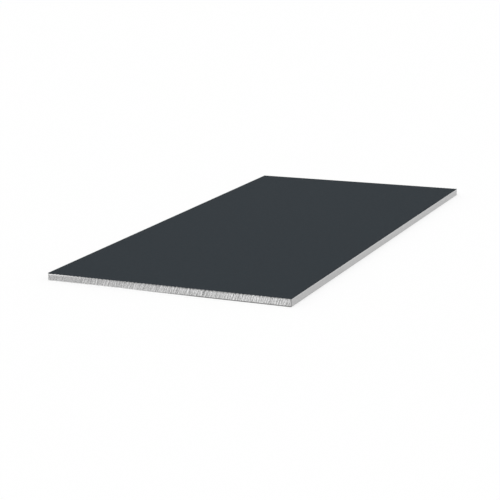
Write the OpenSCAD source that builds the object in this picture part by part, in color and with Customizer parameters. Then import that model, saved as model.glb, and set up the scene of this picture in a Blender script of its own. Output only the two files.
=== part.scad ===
// Painted aluminium sheet: a flat blank cut from 3 mm sheet that was painted on its upper face.
// The two short ends are sawn and the two long sides are trimmed, so all four show bare metal.
// X runs along the length, Y across the width, and Z up through the thickness.
// The origin is the middle of the underside, which is the face that the blank lies on.

/* [Blank] */
// Length of the blank, over the two sawn ends
blank_length = 200; // [50:1:1000]
// Width of the blank, over the two trimmed sides
blank_width = 100; // [30:1:500]
// Thickness of the sheet with its paint
sheet_thickness = 3; // [1.5:0.1:8]

/* [Sawn ends] */
// Radius of the painted arris at each end, which the saw's teeth pressed over
end_top_radius = 0.2; // [0.05:0.05:0.5]
// Bevel filed on the arris under each end, to take the saw's burr off
end_under_bevel = 0.3; // [0.05:0.05:0.6]

/* [Trimmed sides] */
// Radius of the painted arris along each side
side_top_radius = 0.15; // [0.05:0.05:0.5]
// Radius of the arris under each side
side_under_radius = 0.25; // [0.05:0.05:0.6]

/* [Corners] */
// Radius of the four upright corners, eased so that they don't cut a hand
corner_radius = 0.35; // [0.1:0.05:5]

/* [Hidden] */
// Segments in a full circle, for the arrises and the corners
$fn = 32;
// How far each profile runs past the solid that it trims
overrun = 1;

// Seen from above: a rectangle with its four corners eased
module outline() {
    inner_length = blank_length - 2 * corner_radius;
    inner_width = blank_width - 2 * corner_radius;
    square([blank_length, inner_width], center = true);
    square([inner_length, blank_width], center = true);
    for (x = [-1, 1], y = [-1, 1])
        translate([x * inner_length / 2, y * inner_width / 2])
            circle(r = corner_radius);
}

// The small waste that rounding one arris takes off. The arris is at the origin,
// and the section lies in the quarter where both coordinates are positive.
module arris_waste(radius) {
    difference() {
        translate([-overrun, -overrun])
            square(radius + overrun);
        translate([radius, radius])
            circle(r = radius);
    }
}

// Seen from a long side: the full thickness, rounded over above and bevelled below at both ends
module lengthwise_section() {
    half = blank_length / 2;
    difference() {
        polygon([
            [-half + end_under_bevel, 0],
            [half - end_under_bevel, 0],
            [half, end_under_bevel],
            [half, sheet_thickness],
            [-half, sheet_thickness],
            [-half, end_under_bevel],
        ]);
        for (end = [0, 1])
            mirror([end, 0])
                translate([-half, sheet_thickness])
                    mirror([0, 1])
                        arris_waste(end_top_radius);
    }
}

// Seen from an end: the full thickness, with the four arrises rounded over
module crosswise_section() {
    difference() {
        translate([-blank_width / 2, 0])
            square([blank_width, sheet_thickness]);
        for (side = [0, 1])
            mirror([side, 0])
                translate([-blank_width / 2, 0]) {
                    arris_waste(side_under_radius);
                    translate([0, sheet_thickness])
                        mirror([0, 1])
                            arris_waste(side_top_radius);
                }
    }
}

// One piece of sheet: what its outline and its two sections have in common
module sheet() {
    color([57, 62, 66] / 255)
        intersection() {
            linear_extrude(sheet_thickness)
                outline();
            rotate([90, 0, 0])
                linear_extrude(blank_width + 2 * overrun, center = true)
                    lengthwise_section();
            rotate([90, 0, 90])
                linear_extrude(blank_length + 2 * overrun, center = true)
                    crosswise_section();
        }
}

sheet();
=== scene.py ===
# %% [markdown]
# This lesson dresses one blank of painted aluminium sheet: 200 mm long, 100 mm wide and 3 mm thick,
# painted anthracite on its upper face. It was cut out of a larger sheet after that was painted, so its
# four edges show bare metal: the two ends were sawn, and the two long sides were trimmed clean with a
# knife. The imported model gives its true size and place, and nothing here changes them. What this script
# adds is what the eye reads: the coat of paint and its torn edge, the marks of the saw's teeth, and the
# look of each kind of metal.

# %% Load the frame
import math

import bmesh
import bpy
import numpy as np
from mathutils import Matrix, Vector, geometry, noise


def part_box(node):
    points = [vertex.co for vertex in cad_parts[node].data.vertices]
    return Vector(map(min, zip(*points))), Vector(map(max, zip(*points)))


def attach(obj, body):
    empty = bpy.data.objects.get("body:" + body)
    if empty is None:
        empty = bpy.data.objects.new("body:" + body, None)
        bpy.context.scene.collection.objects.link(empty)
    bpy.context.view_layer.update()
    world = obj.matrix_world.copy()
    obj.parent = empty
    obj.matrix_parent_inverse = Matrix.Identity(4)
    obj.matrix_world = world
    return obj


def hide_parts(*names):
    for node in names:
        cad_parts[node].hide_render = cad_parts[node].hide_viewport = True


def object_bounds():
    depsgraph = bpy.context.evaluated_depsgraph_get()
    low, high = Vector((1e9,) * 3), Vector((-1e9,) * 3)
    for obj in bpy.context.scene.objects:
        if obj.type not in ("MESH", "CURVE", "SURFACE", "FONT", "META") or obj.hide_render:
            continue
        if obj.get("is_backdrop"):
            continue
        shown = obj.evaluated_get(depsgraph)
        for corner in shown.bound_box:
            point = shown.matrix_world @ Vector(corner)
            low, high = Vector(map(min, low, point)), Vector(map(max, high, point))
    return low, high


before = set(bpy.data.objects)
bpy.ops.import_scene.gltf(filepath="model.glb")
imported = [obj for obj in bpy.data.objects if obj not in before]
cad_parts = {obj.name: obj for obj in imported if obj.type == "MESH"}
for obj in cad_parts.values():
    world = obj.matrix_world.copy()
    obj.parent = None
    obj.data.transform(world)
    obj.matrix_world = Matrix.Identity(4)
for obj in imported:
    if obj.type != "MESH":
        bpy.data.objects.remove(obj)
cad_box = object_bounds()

MM = 0.001
sheet_low, sheet_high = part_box("sheet")
length, width, thickness = sheet_high - sheet_low
print(f"The sheet measures {length / MM:.1f} x {width / MM:.1f} x {thickness / MM:.1f} mm.")

# %% [markdown]
# The camera stands low at one end of the sheet, a little to its right, as if it lay on a table in front
# of a seated person. A long lens keeps the far end from shrinking much. The camera could be turned by
# Euler angles, but here its three axes are worked out from a compass direction, a height and a small tilt
# of the picture, because each of those can be changed by itself while the aim stays where it is.

# %% Place the camera
camera_lens_mm = 101.0
camera_distance = 0.5696
camera_azimuth = math.radians(-64.975)
camera_elevation = math.radians(14.196)
picture_tilt = math.radians(-1.16)
aim = Vector((-0.03076, -0.00217, 0.0))

level = math.cos(camera_elevation)
backward = Vector((
    math.sin(camera_azimuth) * level,
    -math.cos(camera_azimuth) * level,
    math.sin(camera_elevation),
))
level_right = Vector((math.cos(camera_azimuth), math.sin(camera_azimuth), 0.0))
level_up = backward.cross(level_right)
right = level_right * math.cos(picture_tilt) + level_up * math.sin(picture_tilt)
up = backward.cross(right)

camera_data = bpy.data.cameras.new("camera")
camera_data.lens = camera_lens_mm
camera = bpy.data.objects.new("camera", camera_data)
camera.matrix_world = Matrix((right, up, backward)).transposed().to_4x4()
camera.location = aim + backward * camera_distance
bpy.context.scene.collection.objects.link(camera)
bpy.context.scene.camera = camera
print("The camera stands at", [round(value, 3) for value in camera.location])

# %% [markdown]
# The light is a plain white studio: an even glow from all round, and one broad lamp behind the camera's
# left shoulder that gives the cut metal its direction. A sun lamp suits the broad light, because its rays
# reach the whole floor evenly, and a wide angle makes its shadows soft. Together they light a level white
# surface at about 1, so a colour renders about as it is written. The camera and the shiny metal see the
# surroundings as pure white, which the Light Path node tells apart from the light that falls on things.

# %% Light the studio
glow_strength = 0.72
lamp_strength = 1.15
lamp_softness = math.radians(50)
lamp_direction = Vector((-0.62, -0.12, 0.78))


def place(tree, kind, inputs=None, **settings):
    """Puts a node into a tree. The inputs go to its sockets by name, and the rest sets the node itself."""
    node = tree.nodes.new(kind)
    for name, value in settings.items():
        setattr(node, name, value)
    for name, value in (inputs or {}).items():
        if isinstance(value, bpy.types.NodeSocket):
            tree.links.new(value, node.inputs[name])
        else:
            node.inputs[name].default_value = value
    return node


def seen_directly(tree):
    """1 for rays from the camera, off gloss or through glass, and 0 for light that falls on things."""
    path = place(tree, "ShaderNodeLightPath").outputs
    seen = path["Is Camera Ray"]
    for other in (path["Is Glossy Ray"], path["Is Transmission Ray"]):
        seen = place(tree, "ShaderNodeMath", {0: seen, 1: other}, operation="MAXIMUM").outputs[0]
    return seen


world = bpy.data.worlds.new("white_studio")
world.use_nodes = True
tree = world.node_tree
glow = place(
    tree, "ShaderNodeMapRange",
    {"Value": seen_directly(tree), "To Min": glow_strength, "To Max": 1.0},
)
tree.links.new(glow.outputs[0], tree.nodes["Background"].inputs["Strength"])
tree.nodes["Background"].inputs["Color"].default_value = (1.0, 1.0, 1.0, 1.0)
bpy.context.scene.world = world

lamp_data = bpy.data.lights.new("broad_lamp", "SUN")
lamp_data.energy = lamp_strength
lamp_data.angle = lamp_softness
lamp = bpy.data.objects.new("broad_lamp", lamp_data)
lamp.rotation_euler = lamp_direction.to_track_quat("Z", "Y").to_euler()
bpy.context.scene.collection.objects.link(lamp)
bpy.context.scene.view_settings.view_transform = "Standard"
lit = glow_strength + lamp_strength * lamp_direction.normalized().z / math.pi
print(f"A level white surface is lit at {lit:.2f}.")

# %% [markdown]
# The floor is a plain sweep of card. In a white studio so much light comes back from all sides that a
# thin sheet hardly shades the table it lies on. A white floor would render its shadow too dark. So the
# card is a light grey, and a glow that only the camera and the gloss see lifts it to the white of the
# studio. Only the grey part takes the shadow, which stays, but pale.

# %% Lay the floor
card_colour = (0.52, 0.52, 0.52, 1.0)
card_lift = 0.475
floor_reach = 30.0

floor_mesh = bpy.data.meshes.new("floor")
floor_corners = [(-floor_reach, -floor_reach), (floor_reach, -floor_reach)]
floor_corners += [(floor_reach, floor_reach), (-floor_reach, floor_reach)]
floor_mesh.from_pydata([(x, y, sheet_low.z) for x, y in floor_corners], [], [(0, 1, 2, 3)])
floor = bpy.data.objects.new("floor", floor_mesh)
bpy.context.scene.collection.objects.link(floor)

card = bpy.data.materials.new("pale_card")
card.use_nodes = True
tree = card.node_tree
shader = tree.nodes["Principled BSDF"]
shader.inputs["Base Color"].default_value = card_colour
shader.inputs["Roughness"].default_value = 1.0
shader.inputs["Specular IOR Level"].default_value = 0.0
shader.inputs["Emission Color"].default_value = (1.0, 1.0, 1.0, 1.0)
lift = place(tree, "ShaderNodeMath", {0: seen_directly(tree), 1: card_lift}, operation="MULTIPLY")
tree.links.new(lift.outputs[0], shader.inputs["Emission Strength"])
floor_mesh.materials.append(card)
floor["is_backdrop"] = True
print(f"The open floor renders at about {card_colour[0] * lit + card_lift:.2f}.")

# %% [markdown]
# What tells the real blank from a plain box lies within two millimetres of its edges. A box with bevels
# and a displacement texture would need a fine mesh all over. Instead, one cross-section of the edge is
# carried round the outline as a long band, in many fine steps along the two sawn ends and in few along
# the sides, and the two flat faces are filled in afterwards. This cell walks round the outline. Each
# station knows the corner point or edge point of the sharp rectangle that it belongs to, which way is
# outward there, and how far it counts as a trimmed side, from 0 on a sawn end to 1. In the corners that
# share changes smoothly.

# %% Walk round the outline
corner_radius = 0.35 * MM
corner_steps = 6
sawn_step = 0.11 * MM
trimmed_step = 1.0 * MM

corners = [Vector((1, -1)), Vector((1, 1)), Vector((-1, 1)), Vector((-1, -1))]
stations = []
for edge in range(4):
    start, stop = corners[edge - 1], corners[edge]
    facing = math.radians(90 * edge - 90)
    # Edges 0 and 2 are the long sides, which were trimmed.
    trimmed = 1 - edge % 2
    steps = round(length / trimmed_step) if trimmed else round(width / sawn_step)
    for share in np.linspace(0, 1, steps + 1):
        stations.append((*start.lerp(stop, share), facing, trimmed, 0, edge))
    for share in np.arange(1, corner_steps) / corner_steps:
        turned = facing + math.radians(90 * share)
        partly_trimmed = trimmed + (1 - 2 * trimmed) * share
        stations.append((*stop, turned, partly_trimmed, math.sin(math.pi * share), edge))
side_x, side_y, outward, sidedness, cornering, edge_number = np.array(stations).T
station_x = side_x * length / 2
station_y = side_y * width / 2
print(f"{len(stations)} stations go round the outline.")

# %% [markdown]
# The saw went through the sheet from one long side to the other, and left strokes that lean with its
# feed. Many run through the whole thickness. Each tooth rubbed a bright ridge and tore a groove beside
# it, and the groove's shade is painted into the colour as a dark stripe. Stretched noise could stand for
# them, but it tends to look like cloth. Here every stroke is thrown by itself, as the teeth did it, with
# its own place, size, lean and strength. A seeded generator throws them, so that each run gives the same
# sheet. The first strokes are shorter, because the blade was still entering, and one tooth dug in much
# deeper.

# %% Throw the tooth marks
mark_pitch = 0.14 * MM
mark_lean = math.radians(22)
lean_spread = math.radians(6)
half_lengths = (0.6 * MM, 2.2 * MM)
half_widths = (0.09 * MM, 0.17 * MM)
shortest_at_first = 0.6
marks_lengthen = (0.0, 0.4)
# Place across and up, half length, half width, lean and strength, as for every mark below
deep_mark = (-15.6 * MM, 1.6 * MM, 0.8 * MM, 0.3 * MM, 0.2, -5.0)


def during_cut(y, start=0.0, stop=1.0):
    """Grows from 0 to 1 between two shares of the saw's way across the sheet, at places y."""
    return np.clip((0.5 - y / width - start) / (stop - start), 0, 1)


def throw_marks(seed):
    """The tooth marks of one end: place across and up, half length, half width, lean and strength."""
    dice = np.random.default_rng(seed)
    count = round(width / mark_pitch)
    mark_y = (np.arange(count) + dice.uniform(0, 1, count)) * mark_pitch - width / 2
    growth = shortest_at_first + (1 - shortest_at_first) * during_cut(mark_y, *marks_lengthen)
    return np.stack([
        mark_y,
        dice.uniform(0, thickness, count),
        dice.uniform(*half_lengths, count) * growth,
        dice.uniform(*half_widths, count),
        np.tan(dice.normal(mark_lean, lean_spread, count)),
        dice.normal(0, 1, count),
    ], axis=1)


near_marks = np.vstack([throw_marks(3), deep_mark])
far_marks = throw_marks(8)
print(f"The near end has {len(near_marks)} tooth marks.")

# %% [markdown]
# The brightness at a point is the sum of the marks that cross it. Each fades out softly to its sides and
# more suddenly at its two ends. Broad smears lie over them. As the saw went on, the marks grew stronger
# and the metal brighter, and it dulls again over the last centimetre, where the rest of the metal tore
# away.

# %% Add up the tooth marks
mark_reach = 1.9 * MM
groove_place = 1.8
groove_share = 0.7
smear_length = 2.2 * MM
smear_height = 1.5 * MM
smear_strength = 0.12
strength_going_in = 0.17
strength_gained = 0.15
marks_strengthen = (0.0, 0.6)
shade_going_in = 0.30
shade_gained = 0.35
shade_lost_at_last = 0.09
last_teeth = (0.88, 0.94)


@np.vectorize
def ripple(along, across, seed):
    """Smooth noise about 0, with a step of 1 from one swell to the next."""
    return noise.noise(Vector((along, across, seed)))


def add_marks(total, marks, on_this_end, z):
    """Adds one end's marks to the total, where rows of points at heights z cross them."""
    for mark_y, mark_z, half_length, half_width, lean, strength in marks:
        crossed = np.flatnonzero(on_this_end & (np.abs(station_y - mark_y) < mark_reach))
        up = z[:, crossed] - mark_z
        across = (station_y[crossed] - mark_y + up * lean) / half_width
        # A bright stroke, with a dark lobe beside it that paints the shade of its groove.
        profile = np.exp(-across**2) - groove_share * np.exp(-((across - groove_place) ** 2))
        total[:, crossed] += strength * profile * np.exp(-((up / half_length) ** 4))


def saw_marks(z):
    """Metal brightness from the teeth: 0 in a torn groove painted dark with its shade, 1 on a rubbed
    ridge.
    """
    total = np.zeros_like(z)
    add_marks(total, near_marks, side_x < 0, z)
    add_marks(total, far_marks, side_x > 0, z)
    contrast = strength_going_in + strength_gained * during_cut(station_y, *marks_strengthen)
    smears = ripple(station_y / smear_length, z / smear_height, edge_number)
    shade = shade_going_in + shade_gained * during_cut(station_y)
    shade = shade - shade_lost_at_last * during_cut(station_y, *last_teeth)
    return np.clip(shade + smear_strength * smears + contrast * total, 0, 1)


print("The marks stand for teeth", round(mark_pitch / MM, 2), "mm apart.")

# %% [markdown]
# The coat runs over the upper arris, which the teeth pressed round, and ends just below it on the cut
# face. Further along the cut it ends higher up, and at last on the flat face. Paint is brittle, so it
# broke off in a fine comb: one small chip for every stroke of the saw, a millimetre and a half apart and
# never quite alike. The line could be painted on as a mask, but then the coat would have no thickness, so
# here it moves the mesh's own rows up and down. On the trimmed sides it is almost straight. This cell
# says how far the paint reaches at each station, measured over the edge from where the flat face ends.

# %% Break off the paint
film = 0.06 * MM
stroke_pitch = 1.53 * MM
stroke_drift = 0.12
strokes_in_a_drift = 4
ragged_step = 0.3 * MM
ragged_share = 1.4
size_seed = 4.7
chip_going_in = 0.048 * MM
chip_at_last = 0.155 * MM
reach_going_in = 0.41 * MM
reach_at_last = -0.06 * MM
furthest_back = 0.3 * MM
end_seed = 11.7
side_reach = 0.19 * MM
side_tear = 0.02 * MM
side_seed = 23.9


def chipped(place_along, seed):
    """Unevenness of the paint's edge about 0: a chip for every stroke of the saw, and finer breaks."""
    strokes = place_along / stroke_pitch
    drift = stroke_drift * ripple(strokes / strokes_in_a_drift, 0.0, seed)
    chips = np.sin(2 * math.pi * (strokes + drift))
    chips = chips * (1 + ripple(strokes, 0.0, seed + size_seed))
    return chips + ragged_share * ripple(place_along / ragged_step, 0.0, seed)


def along_cut(going_in, at_last):
    """Goes evenly from one value where the saw went in to another where it came out."""
    return going_in + (at_last - going_in) * during_cut(station_y)


chips = along_cut(chip_going_in, chip_at_last) * chipped(station_y, edge_number + end_seed)
reach_on_end = np.maximum(along_cut(reach_going_in, reach_at_last) + chips, -furthest_back)
side_line = ripple(station_x / ragged_step, 0.0, edge_number + side_seed)
reach_on_side = side_reach + side_tear * side_line
for name, reach in (("ends", reach_on_end), ("sides", reach_on_side)):
    print(f"On the {name} the paint reaches {reach.min() / MM:.2f} to {reach.max() / MM:.2f} mm.")

# %% [markdown]
# Now the cross-section. From the flat painted face it runs over the arris to the paint's broken lip,
# steps in by the coat's thickness to bare metal, goes down the cut face and turns in underneath. A sawn
# end was filed to a bevel below and a trimmed side has a small radius there, so the same rows are worked
# out for each, and a station uses the one or the other, or a blend at the corners. Each row holds its
# kind, an inset from the outline and a height. The kinds are the paint, the rim of metal just below it,
# the cut face and its foot, what turns in underneath, and the back.

# %% Draw the cross-section
end_top_radius = 0.2 * MM
end_under_bevel = 0.3 * MM
side_top_radius = 0.15 * MM
side_under_radius = 0.25 * MM
fill_inset = 1.8 * MM
coat_start = 0.4 * MM
coat_shares = (0, 0.5, 0.75, 1)
lip_slope = 0.015 * MM
lip_sunk = 0.2 * film
rim_height = 0.5 * MM
rim_shares = (0.1, 0.7)
face_rows = 12
quarter_turn = math.pi / 2


def over_arris(travel, radius, sunk):
    """Inset and drop of points on the way over an arris and down, sunk by so much below the paint."""
    turn = np.clip(travel / radius, 0, quarter_turn)
    inset = radius * (1 - np.sin(turn)) - np.minimum(travel, 0)
    drop = radius * (1 - np.cos(turn)) + np.maximum(travel - radius * quarter_turn, 0)
    return inset + sunk * np.sin(turn), drop + sunk * np.cos(turn)


def edge_rows(top_radius, under_size, under_rounded, paint_reach):
    """The rows of one cross-section, from the painted face round to the underside."""
    rows = [("paint", fill_inset, thickness), ("paint", fill_inset / 2, thickness)]
    covered = np.minimum(top_radius * quarter_turn, paint_reach - 2 * lip_slope)
    travels = [("paint", covered * share - coat_start * (1 - share), 0) for share in coat_shares]
    travels += [("paint", paint_reach - lip_slope, lip_sunk), ("paint", paint_reach, film)]
    travels += [("rim", paint_reach + rim_height * share, film) for share in rim_shares]
    travels += [("face", paint_reach + rim_height, film)]
    for kind, travel, sunk in travels:
        inset, drop = over_arris(travel, top_radius, sunk)
        rows.append((kind, inset, thickness - drop))
    face_start = rows[-1][2]
    for row in range(1, face_rows + 1):
        share = row / face_rows
        kind = "foot" if row == face_rows else "face"
        rows.append((kind, film, face_start * (1 - share) + under_size * share))
    for share in (1 / 3, 2 / 3, 1):
        turn = share * quarter_turn
        inset = under_size * ((1 - math.cos(turn)) if under_rounded else share)
        height = under_size * ((1 - math.sin(turn)) if under_rounded else 1 - share)
        rows.append(("under", film + inset, height))
    rows += [("back", fill_inset / 2, 0), ("back", fill_inset, 0)]
    kinds, insets, heights = zip(*rows)
    even = np.zeros(len(stations))
    return np.array(kinds), np.array([even + x for x in insets]), np.array([even + z for z in heights])


row_kinds, end_insets, end_heights = edge_rows(end_top_radius, end_under_bevel, False, reach_on_end)
side_insets, side_heights = edge_rows(side_top_radius, side_under_radius, True, reach_on_side)[1:]
print(f"A cross-section has {len(row_kinds)} rows.")

# %% [markdown]
# The two cross-sections are blended, and the band's points follow. At a corner the outline is a small
# arc. Rows that lie deeper than its radius would have no arc left, and the faces between them no area,
# so each row keeps at least a tiny one, too small to be seen. The relief comes last: tooth marks on the
# ends, and on the sides the faint waves that the trimming knife left.

# %% Carry it round the outline
mark_depth = 0.06 * MM
wave_depth = 0.006 * MM
wave_length = 30 * MM
wave_height = 0.3 * MM
smallest_arc = 0.03 * MM

insets = end_insets + (side_insets - end_insets) * sidedness
heights = end_heights + (side_heights - end_heights) * sidedness

marks = saw_marks(heights)
waves = 0.5 + 0.5 * ripple(station_x / wave_length, heights / wave_height, edge_number)
relief = mark_depth * (1 - marks) * (1 - sidedness) + wave_depth * waves * sidedness
insets += relief * np.isin(row_kinds, ("rim", "face", "foot"))[:, None]

centre_inset = np.maximum(insets + smallest_arc, corner_radius)
arc = np.maximum(corner_radius - insets, smallest_arc)
band_x = side_x * (length / 2 - centre_inset) + arc * np.cos(outward)
band_y = side_y * (width / 2 - centre_inset) + arc * np.sin(outward)
row_count, station_count = insets.shape
print(f"The edge band has {row_count} rows of {station_count} points.")

# %% [markdown]
# The two faces are flat, so they need few points, but the band's edge that they join has thousands. One
# face with thousands of corners would render, yet it would split into long slivers. Blender can make a
# Delaunay triangulation, which keeps triangles plump. It is given the band's edge and some rings of
# points whose spacing doubles towards the middle, and then a plain grid.

# %% Fill the two faces
finest_ring = 0.4 * MM
grid_step = 4.0 * MM
inside_only = 1
same_place = 1e-9


def rectangle_points(half_x, half_y, step):
    """Points along a rectangle, evenly spaced on each side."""
    along_x = np.linspace(-half_x, half_x, round(2 * half_x / step) + 1)
    along_y = np.linspace(-half_y, half_y, round(2 * half_y / step) + 1)[1:-1]
    points = [(x, y) for y in (-half_y, half_y) for x in along_x]
    return points + [(x, y) for x in (-half_x, half_x) for y in along_y]


def inner_points(inset):
    """Points inside a face: rings that grow coarser inwards, then a grid."""
    points = []
    step = finest_ring
    while step < grid_step:
        inset += step
        points += rectangle_points(length / 2 - inset, width / 2 - inset, step)
        step *= 2
    half_x, half_y = length / 2 - inset - step, width / 2 - inset - step
    for x in np.linspace(-half_x, half_x, round(2 * half_x / grid_step) + 1):
        for y in np.linspace(-half_y, half_y, round(2 * half_y / grid_step) + 1):
            points.append((x, y))
    return points


def fill_face(border):
    """Triangles that fill a border of points, as corner places and corner numbers."""
    points = [Vector(point) for point in border + inner_points(fill_inset)]
    border_edges = [(number, (number + 1) % len(border)) for number in range(len(border))]
    found = geometry.delaunay_2d_cdt(points, border_edges, [], inside_only, same_place)
    return [tuple(point) for point in found[0]], [tuple(face) for face in found[2]]


fill_border = list(zip(band_x[0].tolist(), band_y[0].tolist()))
fill_points, fill_faces = fill_face(fill_border)
print(f"{len(fill_faces)} triangles fill each face, inside a border of {len(fill_border)} points.")

# %% [markdown]
# Band and faces are gathered into one list of points and one list of faces, so that the sheet becomes a
# single closed mesh. Each face of the band has four corners, on two rows and two stations. The last
# station joins the first, and rolling the list of numbers by one gives each station its neighbour.

# %% Gather the points and faces
band_points = np.stack([band_x, band_y, heights], axis=-1).reshape(-1, 3)
upper_left = np.arange(row_count - 1)[:, None] * station_count + np.arange(station_count)
upper_right = np.roll(upper_left, -1, axis=1)
lower_left, lower_right = upper_left + station_count, upper_right + station_count
band_faces = np.stack([upper_left, lower_left, lower_right, upper_right], axis=-1).reshape(-1, 4)

top_start = len(band_points)
under_start = top_start + len(fill_points)
points = band_points.tolist()
points += [(x, y, thickness) for x, y in fill_points]
points += [(x, y, 0.0) for x, y in fill_points]
faces = band_faces.tolist()
faces += [[top_start + corner for corner in face] for face in fill_faces]
faces += [[under_start + corner for corner in reversed(face)] for face in fill_faces]
print(f"{len(points)} points and {len(faces)} faces before merging.")

# %% [markdown]
# The cut metal isn't equally bright all over, and the finishes need to know where. Nodes could work it
# out from the position, but the mesh knows its own rows, so it carries three soft masks along. One holds
# the saw marks. One says where the metal is rubbed bright: below the paint on the sides and where the saw
# went in, and under the ends over the first third of the cut. The last says where the colour is darkened:
# on the upright corners, and as painted shade along the rim just below the paint's lip and on the bevel
# under the ends, from the middle of the cut on.

# %% Mark where the metal is bright, and where shade is painted
bright_at_entry = 0.65
rim_shade_strength = 0.68
first_teeth = (0.02, 0.22)
under_brightens = (-0.35, 0.25)
saw_well_in = (0.32, 0.44)
rim_shade_span = (0.10, 0.60)
under_shade_span = (0.45, 0.63)


def rows_of(*kinds):
    """1 on the rows of these kinds and 0 on all others, for every station."""
    return np.isin(row_kinds, kinds)[:, None] * np.ones(station_count)


on_end = 1 - sidedness
entry = 1 - during_cut(station_y, *first_teeth)
bright_rim = rows_of("rim") * (sidedness + bright_at_entry * on_end * entry)
bright_under = rows_of("under") * on_end * during_cut(station_y, *under_brightens)
bright_under = bright_under * (1 - during_cut(station_y, *saw_well_in))
# Painted shade: the rim below the paint's lip and the bevel under the ends are darkened in colour.
painted_rim_shade = rim_shade_strength * rows_of("rim") * on_end * during_cut(station_y, *rim_shade_span)
painted_under_shade = rows_of("foot", "under") * on_end * during_cut(station_y, *under_shade_span)
masks = {
    "saw_mark": marks,
    "rubbed_bright": bright_rim + bright_under,
    "dark_corners_and_painted_shade": np.maximum(cornering, painted_rim_shade + painted_under_shade),
}
for name, values in masks.items():
    print(f"The mask {name} averages {values.mean():.3f}.")

# %% [markdown]
# The mesh also carries a map, for whoever bakes the finish into a picture. An automatic unwrapping would
# give the thin edges as little room as their size, and all the detail is there. So the map is laid out
# as a stack of strips: one for each edge, far taller than its true share, and one for each flat
# face. A strip of the band runs along its edge from left to right, and over the edge from top to bottom.

# %% Lay out the map
strips = {"painted_face": (0.62, 0.99), "underside": (0.36, 0.60)}
edge_strips = [(0.02, 0.08), (0.10, 0.17), (0.19, 0.25), (0.27, 0.34)]
margin = 0.01
strip_length = 1 - 2 * margin

face_row = list(row_kinds).index("face")
step_x = np.diff(band_x[face_row], append=band_x[face_row, 0])
step_y = np.diff(band_y[face_row], append=band_y[face_row, 0])
travelled = np.concatenate([[0], np.cumsum(np.hypot(step_x, step_y))])
first_station = [int(np.argmax(edge_number == edge)) for edge in range(4)] + [station_count]
edge_index = edge_number.astype(int)
strip_start = travelled[np.array(first_station)[edge_index]]
strip_stop = travelled[np.array(first_station)[edge_index + 1]]
left_share = (travelled[:-1] - strip_start) / (strip_stop - strip_start)
right_share = (travelled[1:] - strip_start) / (strip_stop - strip_start)
down_share = np.linspace(1, 0, row_count)
strip_low, strip_high = np.array(edge_strips)[edge_index].T


def band_place(across, rows):
    """Places on the map of one corner of every face of the band."""
    down = strip_low + (strip_high - strip_low) * down_share[rows][:, None]
    return np.stack([np.broadcast_to(margin + strip_length * across, down.shape), down], axis=-1)


upper_rows, lower_rows = np.arange(row_count - 1), np.arange(1, row_count)
band_map = np.stack([
    band_place(left_share, upper_rows),
    band_place(left_share, lower_rows),
    band_place(right_share, lower_rows),
    band_place(right_share, upper_rows),
], axis=2).reshape(-1, 2)


def face_map(strip, corner_numbers):
    """Places on the map of the corners of one flat face."""
    low_end, high_end = strips[strip]
    flat = np.array(fill_points)[np.array(corner_numbers).ravel()]
    share = flat / (length, width) + 0.5
    return share * (strip_length, high_end - low_end) + (margin, low_end)


whole_map = np.concatenate([
    band_map,
    face_map("painted_face", fill_faces),
    face_map("underside", [face[::-1] for face in fill_faces]),
])
print(f"The map has {len(whole_map)} places.")

# %% [markdown]
# The mesh is made in one go from those lists. Points that fell together where the faces meet the band
# are then merged, which closes it. A closed mesh has two faces at every edge, so this cell counts the
# edges that have not. Creases sharper than the saw marks, such as the paint's lip, stay sharp.

# %% Make the sheet
mesh = bpy.data.meshes.new("painted_sheet")
mesh.from_pydata(points, [], faces)
for name, values in masks.items():
    spread = np.zeros(len(points), np.float32)
    spread[: values.size] = values.ravel()
    mesh.attributes.new(name, "FLOAT", "POINT").data.foreach_set("value", spread)
mesh.uv_layers.new(name="OFBake").data.foreach_set("uv", whole_map.astype(np.float32).ravel())

PAINT, SAWN, TRIMMED, BACK = range(4)
cut_finish = np.where(sidedness < 0.5, SAWN, TRIMMED)
flat_finish = {"paint": np.full(station_count, PAINT), "back": np.full(station_count, BACK)}
band_finish = [flat_finish.get(kind, cut_finish) for kind in row_kinds[1:]]
finishes = np.concatenate([*band_finish, [PAINT] * len(fill_faces), [BACK] * len(fill_faces)])
mesh.polygons.foreach_set("material_index", finishes.astype(np.int32))

merge_distance = 0.0005 * MM
crease = math.radians(32)
work = bmesh.new()
work.from_mesh(mesh)
bmesh.ops.remove_doubles(work, verts=work.verts, dist=merge_distance)
open_edges = sum(len(edge.link_faces) != 2 for edge in work.edges)
volume = work.calc_volume(signed=True)
work.to_mesh(mesh)
work.free()
mesh.shade_smooth()
mesh.set_sharp_from_angle(angle=crease)

sheet = bpy.data.objects.new("painted_sheet", mesh)
bpy.context.scene.collection.objects.link(sheet)
triangle_count = sum(len(face.vertices) - 2 for face in mesh.polygons)
print(f"{triangle_count} triangles, {open_edges} open edges, {volume / MM**3:.0f} cubic mm.")

# %% [markdown]
# All four finishes share one effect: a fine grain, long one way for lines that a tool or a roll left, or
# as long as it is wide for the texture of paint and of torn metal. It is built once, as a shader group
# that takes the length and width of its marks in metres, and puts out a mask from 0 to 1.

# %% Build the grain


def new_group(name, inputs, outputs):
    """An empty shader group with number or vector inputs and outputs, and its two end nodes."""
    group = bpy.data.node_groups.new(name, "ShaderNodeTree")
    for label, kind, default in inputs:
        socket = group.interface.new_socket(label, in_out="INPUT", socket_type=kind)
        if default is not None:
            socket.default_value = default
    for label, kind in outputs:
        group.interface.new_socket(label, in_out="OUTPUT", socket_type=kind)
    print(f"The group {name} takes:", ", ".join(label for label, kind, default in inputs))
    return group, place(group, "NodeGroupInput").outputs, place(group, "NodeGroupOutput").inputs


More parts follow.
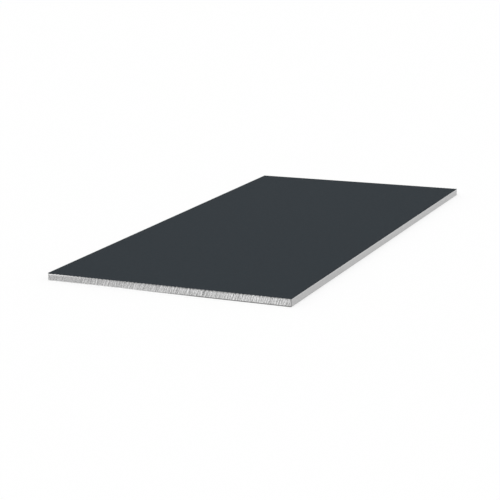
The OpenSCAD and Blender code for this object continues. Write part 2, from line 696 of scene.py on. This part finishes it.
grain, given, result = new_group(
    "grain",
    [
        ("Vector", "NodeSocketVector", None),
        ("Length", "NodeSocketFloat", 1.0 * MM),
        ("Width", "NodeSocketFloat", 1.0 * MM),
        ("Contrast", "NodeSocketFloat", 1.0),
    ],
    [("Mask", "NodeSocketFloat")],
)
grain_size = place(
    grain, "ShaderNodeCombineXYZ",
    {"X": given["Length"], "Y": given["Width"], "Z": given["Width"]},
)
scaled = place(
    grain, "ShaderNodeVectorMath",
    {0: given["Vector"], 1: grain_size.outputs[0]}, operation="DIVIDE",
)
swells = place(
    grain, "ShaderNodeTexNoise",
    {"Vector": scaled.outputs[0], "Scale": 1.0, "Detail": 3.0, "Roughness": 0.55},
)
centred = place(grain, "ShaderNodeMath", {0: swells.outputs[0], 1: 0.5}, operation="SUBTRACT")
stretched = place(
    grain, "ShaderNodeMath", {0: centred.outputs[0], 1: given["Contrast"], 2: 0.5},
    operation="MULTIPLY_ADD", use_clamp=True,
)
grain.links.new(stretched.outputs[0], result["Mask"])

# %% [markdown]
# A few helpers keep the finishes short. One places the grain, turned so that its marks run the right way
# on the face in question. One mixes two colours by a mask, and one turns masks into a bump of a real
# height.

# %% Prepare the finishes


def place_grain(tree, long, wide, contrast, turn=(0, 0, 0)):
    """The grain's mask with marks so long and so wide, turned by an angle about each axis."""
    position = place(tree, "ShaderNodeTexCoord").outputs["Object"]
    turned = place(tree, "ShaderNodeMapping", {"Vector": position, "Rotation": turn}).outputs[0]
    node = place(tree, "ShaderNodeGroup", node_tree=grain)
    tree.links.new(turned, node.inputs["Vector"])
    for label, value in (("Length", long), ("Width", wide), ("Contrast", contrast)):
        node.inputs[label].default_value = value
    return node.outputs["Mask"]


def mixed(tree, mask, low_colour, high_colour):
    """A colour that goes from one to the other as the mask goes from 0 to 1."""
    node = place(tree, "ShaderNodeMix", data_type="RGBA")
    # Socket 0 takes the mask, 6 and 7 take the two colours, and 2 gives out the mixed one.
    for number, value in ((0, mask), (6, low_colour), (7, high_colour)):
        if isinstance(value, bpy.types.NodeSocket):
            tree.links.new(value, node.inputs[number])
        else:
            node.inputs[number].default_value = (*value, 1.0)
    return node.outputs[2]


def ranged(tree, mask, low_value, high_value):
    """A number that goes from one to the other as the mask goes from 0 to 1."""
    node = place(tree, "ShaderNodeMapRange", {"Value": mask, "To Min": low_value, "To Max": high_value})
    return node.outputs[0]


def bumped(tree, mask, relief, below=None):
    """A normal bent by a mask as if it were a relief of that depth in metres."""
    node = place(tree, "ShaderNodeBump", {"Height": mask, "Distance": relief, "Strength": 1.0})
    if below is not None:
        tree.links.new(below, node.inputs["Normal"])
    return node.outputs[0]


def new_finish(name, **values):
    """A material with its shader's plain values set by name."""
    material = bpy.data.materials.new(name)
    material.use_nodes = True
    shader = material.node_tree.nodes["Principled BSDF"]
    for label, value in values.items():
        shader.inputs[label.replace("_", " ")].default_value = value
    return material, material.node_tree, shader.inputs


def feed(tree, sockets, **sources):
    """Links each source to the shader's socket of that name."""
    for label, source in sources.items():
        tree.links.new(source, sockets[label.replace("_", " ")])


print("The helpers for the finishes are ready.")

# %% [markdown]
# The paint is a matt anthracite coat, laid on flat before the sheet was cut. It hardly shines even at a
# low angle, so its specular level is low and its roughness high. One flat colour would do from afar, but
# close up a coat is never quite even: it dries with a faint orange peel, a millimetre or two from swell
# to swell, and the matting powder in it gives it a finer tooth. Both stay so shallow that from arm's
# length the colour is one flat tone.

# %% Mix the paint
anthracite = (0.0335, 0.0407, 0.0469)
unevenness = 0.06
peel_size = 1.6 * MM
peel_depth = 0.02 * MM
powder_size = 0.28 * MM
powder_depth = 0.014 * MM
coat_roughness = (0.70, 0.80)

paint, tree, sockets = new_finish("anthracite_coat", Specular_IOR_Level=0.01)
peel = place_grain(tree, peel_size, peel_size, contrast=2.0)
powder = place_grain(tree, powder_size, powder_size, contrast=2.0)
paler = tuple(value * (1 + unevenness) for value in anthracite)
darker = tuple(value * (1 - unevenness) for value in anthracite)
feed(
    tree, sockets,
    Base_Color=mixed(tree, powder, darker, paler),
    Roughness=ranged(tree, peel, *coat_roughness),
    Normal=bumped(tree, powder, powder_depth, bumped(tree, peel, peel_depth)),
)
print("Paint:", paint.name)

# %% [markdown]
# Bare aluminium is a metal, so its colour is the tint of what it reflects. The sawn and the trimmed edges
# share one more effect, which is again a group: it reads the two masks from the mesh, and makes the metal
# brighter where it was rubbed, and darker on the corners and where shade is painted into the colour.

# %% Build the rubbed and shaded edges


def grey(value):
    """A neutral colour."""
    return (value, value, value)


edge_tones, given, result = new_group(
    "rubbed_and_shaded_edges",
    [
        ("Color", "NodeSocketColor", None),
        ("Bright", "NodeSocketColor", (*grey(0.7), 1.0)),
        ("Darkened", "NodeSocketColor", (*grey(0.3), 1.0)),
    ],
    [("Color", "NodeSocketColor")],
)
bright_mask = place(edge_tones, "ShaderNodeAttribute", attribute_name="rubbed_bright").outputs["Fac"]
shade_mask = place(edge_tones, "ShaderNodeAttribute", attribute_name="dark_corners_and_painted_shade").outputs["Fac"]
brightened = mixed(edge_tones, bright_mask, given["Color"], given["Bright"])
edge_tones.links.new(mixed(edge_tones, shade_mask, brightened, given["Darkened"]), result["Color"])


def place_edge_tones(tree, colour, bright, darkened):
    """The colour of a cut face, with its bright edges, darkened corners and painted shade."""
    node = place(tree, "ShaderNodeGroup", {"Color": colour}, node_tree=edge_tones)
    node.inputs["Bright"].default_value = (*grey(bright), 1.0)
    node.inputs["Darkened"].default_value = (*grey(darkened), 1.0)
    return node.outputs["Color"]


# %% [markdown]
# The sawn ends read the saw marks from the mesh, so that the bright strokes lie exactly on the ridges of
# the relief, and the painted shade exactly in its grooves. A noise texture alone could not line up with
# it. The grain is placed over them twice: as hair-fine scratches at the same lean, and as round pits where
# the soft metal tore out in crumbs. A rubbed ridge shines a little more sharply than a torn groove.

# %% Finish the sawn ends
scratch_length = 0.9 * MM
scratch_width = 0.1 * MM
scratch_share = 0.2
scratch_depth = 0.012 * MM
pit_size = 0.45 * MM
pit_share = 0.3
pit_depth = 0.010 * MM
torn_and_shaded_grey = grey(0.12)
rubbed_grey = grey(0.97)
sawn_roughness = (0.56, 0.40)

sawn, tree, sockets = new_finish("sawn_aluminium", Metallic=1.0)
tone = place(tree, "ShaderNodeAttribute", attribute_name="saw_mark").outputs["Fac"]
upright = (-mark_lean, quarter_turn, 0)
scratches = place_grain(tree, scratch_length, scratch_width, contrast=2.4, turn=upright)
pits = place_grain(tree, pit_size, pit_size, contrast=4.5)
for share, detail in ((scratch_share, scratches), (pit_share, pits)):
    inputs = {"Factor": share, "A": tone, "B": detail}
    tone = place(tree, "ShaderNodeMix", inputs, data_type="FLOAT").outputs["Result"]
face_colour = mixed(tree, tone, torn_and_shaded_grey, rubbed_grey)
feed(
    tree, sockets,
    Base_Color=place_edge_tones(tree, face_colour, bright=0.95, darkened=0.19),
    Roughness=ranged(tree, tone, *sawn_roughness),
    Normal=bumped(tree, pits, pit_depth, bumped(tree, scratches, scratch_depth)),
)
print("Sawn ends:", sawn.name)

# %% [markdown]
# The trimmed sides are smooth and even, with lines along their length so faint that they show only close
# up.

# %% Finish the trimmed sides
knife_line_length = 25 * MM
knife_line_width = 0.12 * MM
knife_line_depth = 0.004 * MM
knife_line_greys = (grey(0.475), grey(0.505))
trimmed_roughness = (0.44, 0.38)

trimmed_metal, tree, sockets = new_finish("trimmed_aluminium", Metallic=1.0)
knife_lines = place_grain(tree, knife_line_length, knife_line_width, contrast=2.0)
face_colour = mixed(tree, knife_lines, *knife_line_greys)
feed(
    tree, sockets,
    Base_Color=place_edge_tones(tree, face_colour, bright=0.56, darkened=0.20),
    Roughness=ranged(tree, knife_lines, *trimmed_roughness),
    Normal=bumped(tree, knife_lines, knife_line_depth),
)
print("Trimmed sides:", trimmed_metal.name)

# %% [markdown]
# The underside was never painted. It is as the rolling mill left it: even, satin, with roll lines along
# the length of the sheet and slow cloudy changes in tone.

# %% Finish the underside
roll_line_length = 40 * MM
roll_line_width = 0.35 * MM
roll_line_depth = 0.008 * MM
cloud_length = 30 * MM
cloud_width = 14 * MM
roll_line_greys = (grey(0.50), grey(0.68))
cloud_grey = grey(0.62)
mill_roughness = (0.46, 0.28)

back, tree, sockets = new_finish("mill_finish_aluminium", Metallic=1.0)
roll_lines = place_grain(tree, roll_line_length, roll_line_width, contrast=2.2)
clouds = place_grain(tree, cloud_length, cloud_width, contrast=1.8)
lined = mixed(tree, roll_lines, *roll_line_greys)
feed(
    tree, sockets,
    Base_Color=mixed(tree, clouds, lined, cloud_grey),
    Roughness=ranged(tree, roll_lines, *mill_roughness),
    Normal=bumped(tree, roll_lines, roll_line_depth),
)
for finished in (paint, sawn, trimmed_metal, back):
    mesh.materials.append(finished)
print("Underside:", back.name)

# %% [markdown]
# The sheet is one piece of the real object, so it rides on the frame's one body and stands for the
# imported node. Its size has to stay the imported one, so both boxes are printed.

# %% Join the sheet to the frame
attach(sheet, "root")
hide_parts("sheet")

boxes = {"cad": cad_box, "visual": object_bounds()}
for name, box in boxes.items():
    print(name, "box:", [[round(value / MM, 3) for value in corner] for corner in box], "mm")
